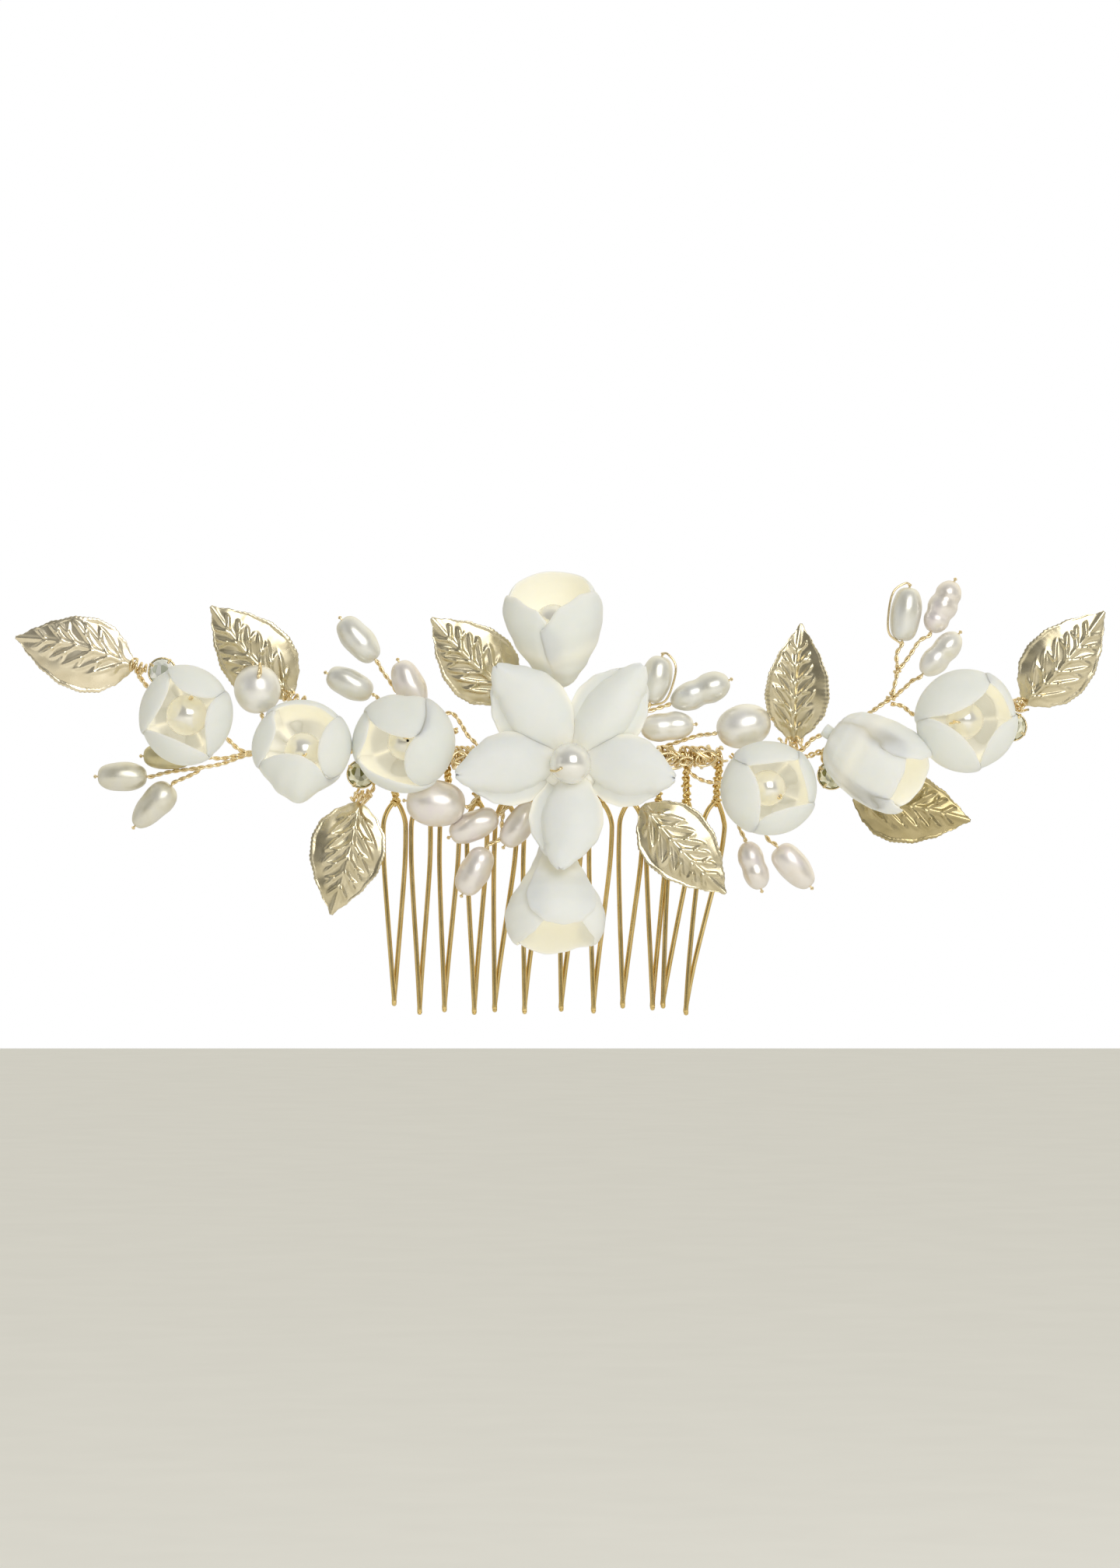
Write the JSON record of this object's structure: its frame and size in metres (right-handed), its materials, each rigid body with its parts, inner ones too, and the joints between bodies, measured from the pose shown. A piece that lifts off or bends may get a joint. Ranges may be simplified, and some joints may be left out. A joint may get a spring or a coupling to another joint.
{
  "type": "decorative hair comb",
  "caption": "Gold wire hair comb topped by a wired vine of white clay flowers, stamped gold leaves, freshwater pearls and small crystals.",
  "frame": {"origin": "the middle of the teeth's roots, where the top of the row of teeth meets the hair", "axes": "as worn: the teeth point down (-Z), the decoration faces -Y, and the vine runs along X"},
  "size_m": [0.1762, 0.0214, 0.0714],
  "materials": {
    "clay_petals": "matte white modelling clay, faintly translucent, creamy at the thin edges",
    "comb_gold": "polished warm gold plate on wire",
    "craft_wire_gold": "bright gold craft wire, twisted in pairs",
    "leaf_gold": "satin pale champagne gold, stamped with raised veins",
    "cup_gold": "polished gold setting",
    "freshwater_nacre": "lustrous ivory nacre with faint pink and grey-green overtones",
    "round_pearl": "glossy ivory pearl",
    "crystal_glass": "clear faceted stone"
  },
  "bodies": {
    "root": {"centre_wire": "craft_wire_gold", "comb_wire": "comb_gold", "crystal_1": "crystal_glass", "crystal_2": "crystal_glass", "crystal_3": "crystal_glass", "crystal_4": "crystal_glass", "crystal_cup_1": "cup_gold", "crystal_cup_2": "cup_gold", "crystal_cup_3": "cup_gold", "crystal_cup_4": "cup_gold", "flower_left_inner": "clay_petals", "flower_left_middle": "clay_petals", "flower_left_outer": "clay_petals", "flower_right_inner": "clay_petals", "flower_right_middle": "clay_petals", "flower_right_outer": "clay_petals", "freshwater_pearl_01": "freshwater_nacre", "freshwater_pearl_02": "freshwater_nacre", "freshwater_pearl_03": "freshwater_nacre", "freshwater_pearl_04": "freshwater_nacre", "freshwater_pearl_05": "freshwater_nacre", "freshwater_pearl_06": "freshwater_nacre", "freshwater_pearl_07": "freshwater_nacre", "freshwater_pearl_08": "freshwater_nacre", "freshwater_pearl_09": "freshwater_nacre", "freshwater_pearl_10": "freshwater_nacre", "freshwater_pearl_11": "freshwater_nacre", "freshwater_pearl_12": "freshwater_nacre", "freshwater_pearl_13": "freshwater_nacre", "freshwater_pearl_14": "freshwater_nacre", "freshwater_pearl_15": "freshwater_nacre", "freshwater_pearl_16": "freshwater_nacre", "freshwater_pearl_17": "freshwater_nacre", "freshwater_pearl_18": "freshwater_nacre", "freshwater_pearl_19": "freshwater_nacre", "freshwater_pearl_20": "freshwater_nacre", "inner_left_wire": "craft_wire_gold", "leaf_centre_lower": "leaf_gold", "leaf_centre_upper": "leaf_gold", "leaf_left_lower": "leaf_gold", "leaf_left_outer": "leaf_gold", "leaf_left_upper": "leaf_gold", "leaf_right_lower": "leaf_gold", "leaf_right_outer": "leaf_gold", "leaf_right_upper": "leaf_gold", "pearl_in_flower_left_inner": "round_pearl", "pearl_in_flower_left_middle": "round_pearl", "pearl_in_flower_left_outer": "round_pearl", "pearl_in_flower_right_inner": "round_pearl", "pearl_in_flower_right_middle": "round_pearl", "pearl_in_flower_right_outer": "round_pearl", "pearl_in_star_flower": "round_pearl", "pearl_in_tulip_bottom": "round_pearl", "pearl_in_tulip_top": "round_pearl", "rail_lashing_wire": "craft_wire_gold", "star_flower": "clay_petals", "tulip_bottom": "clay_petals", "tulip_top": "clay_petals", "vine_wire_left": "craft_wire_gold", "vine_wire_right": "craft_wire_gold"}
  },
  "joints": []
}
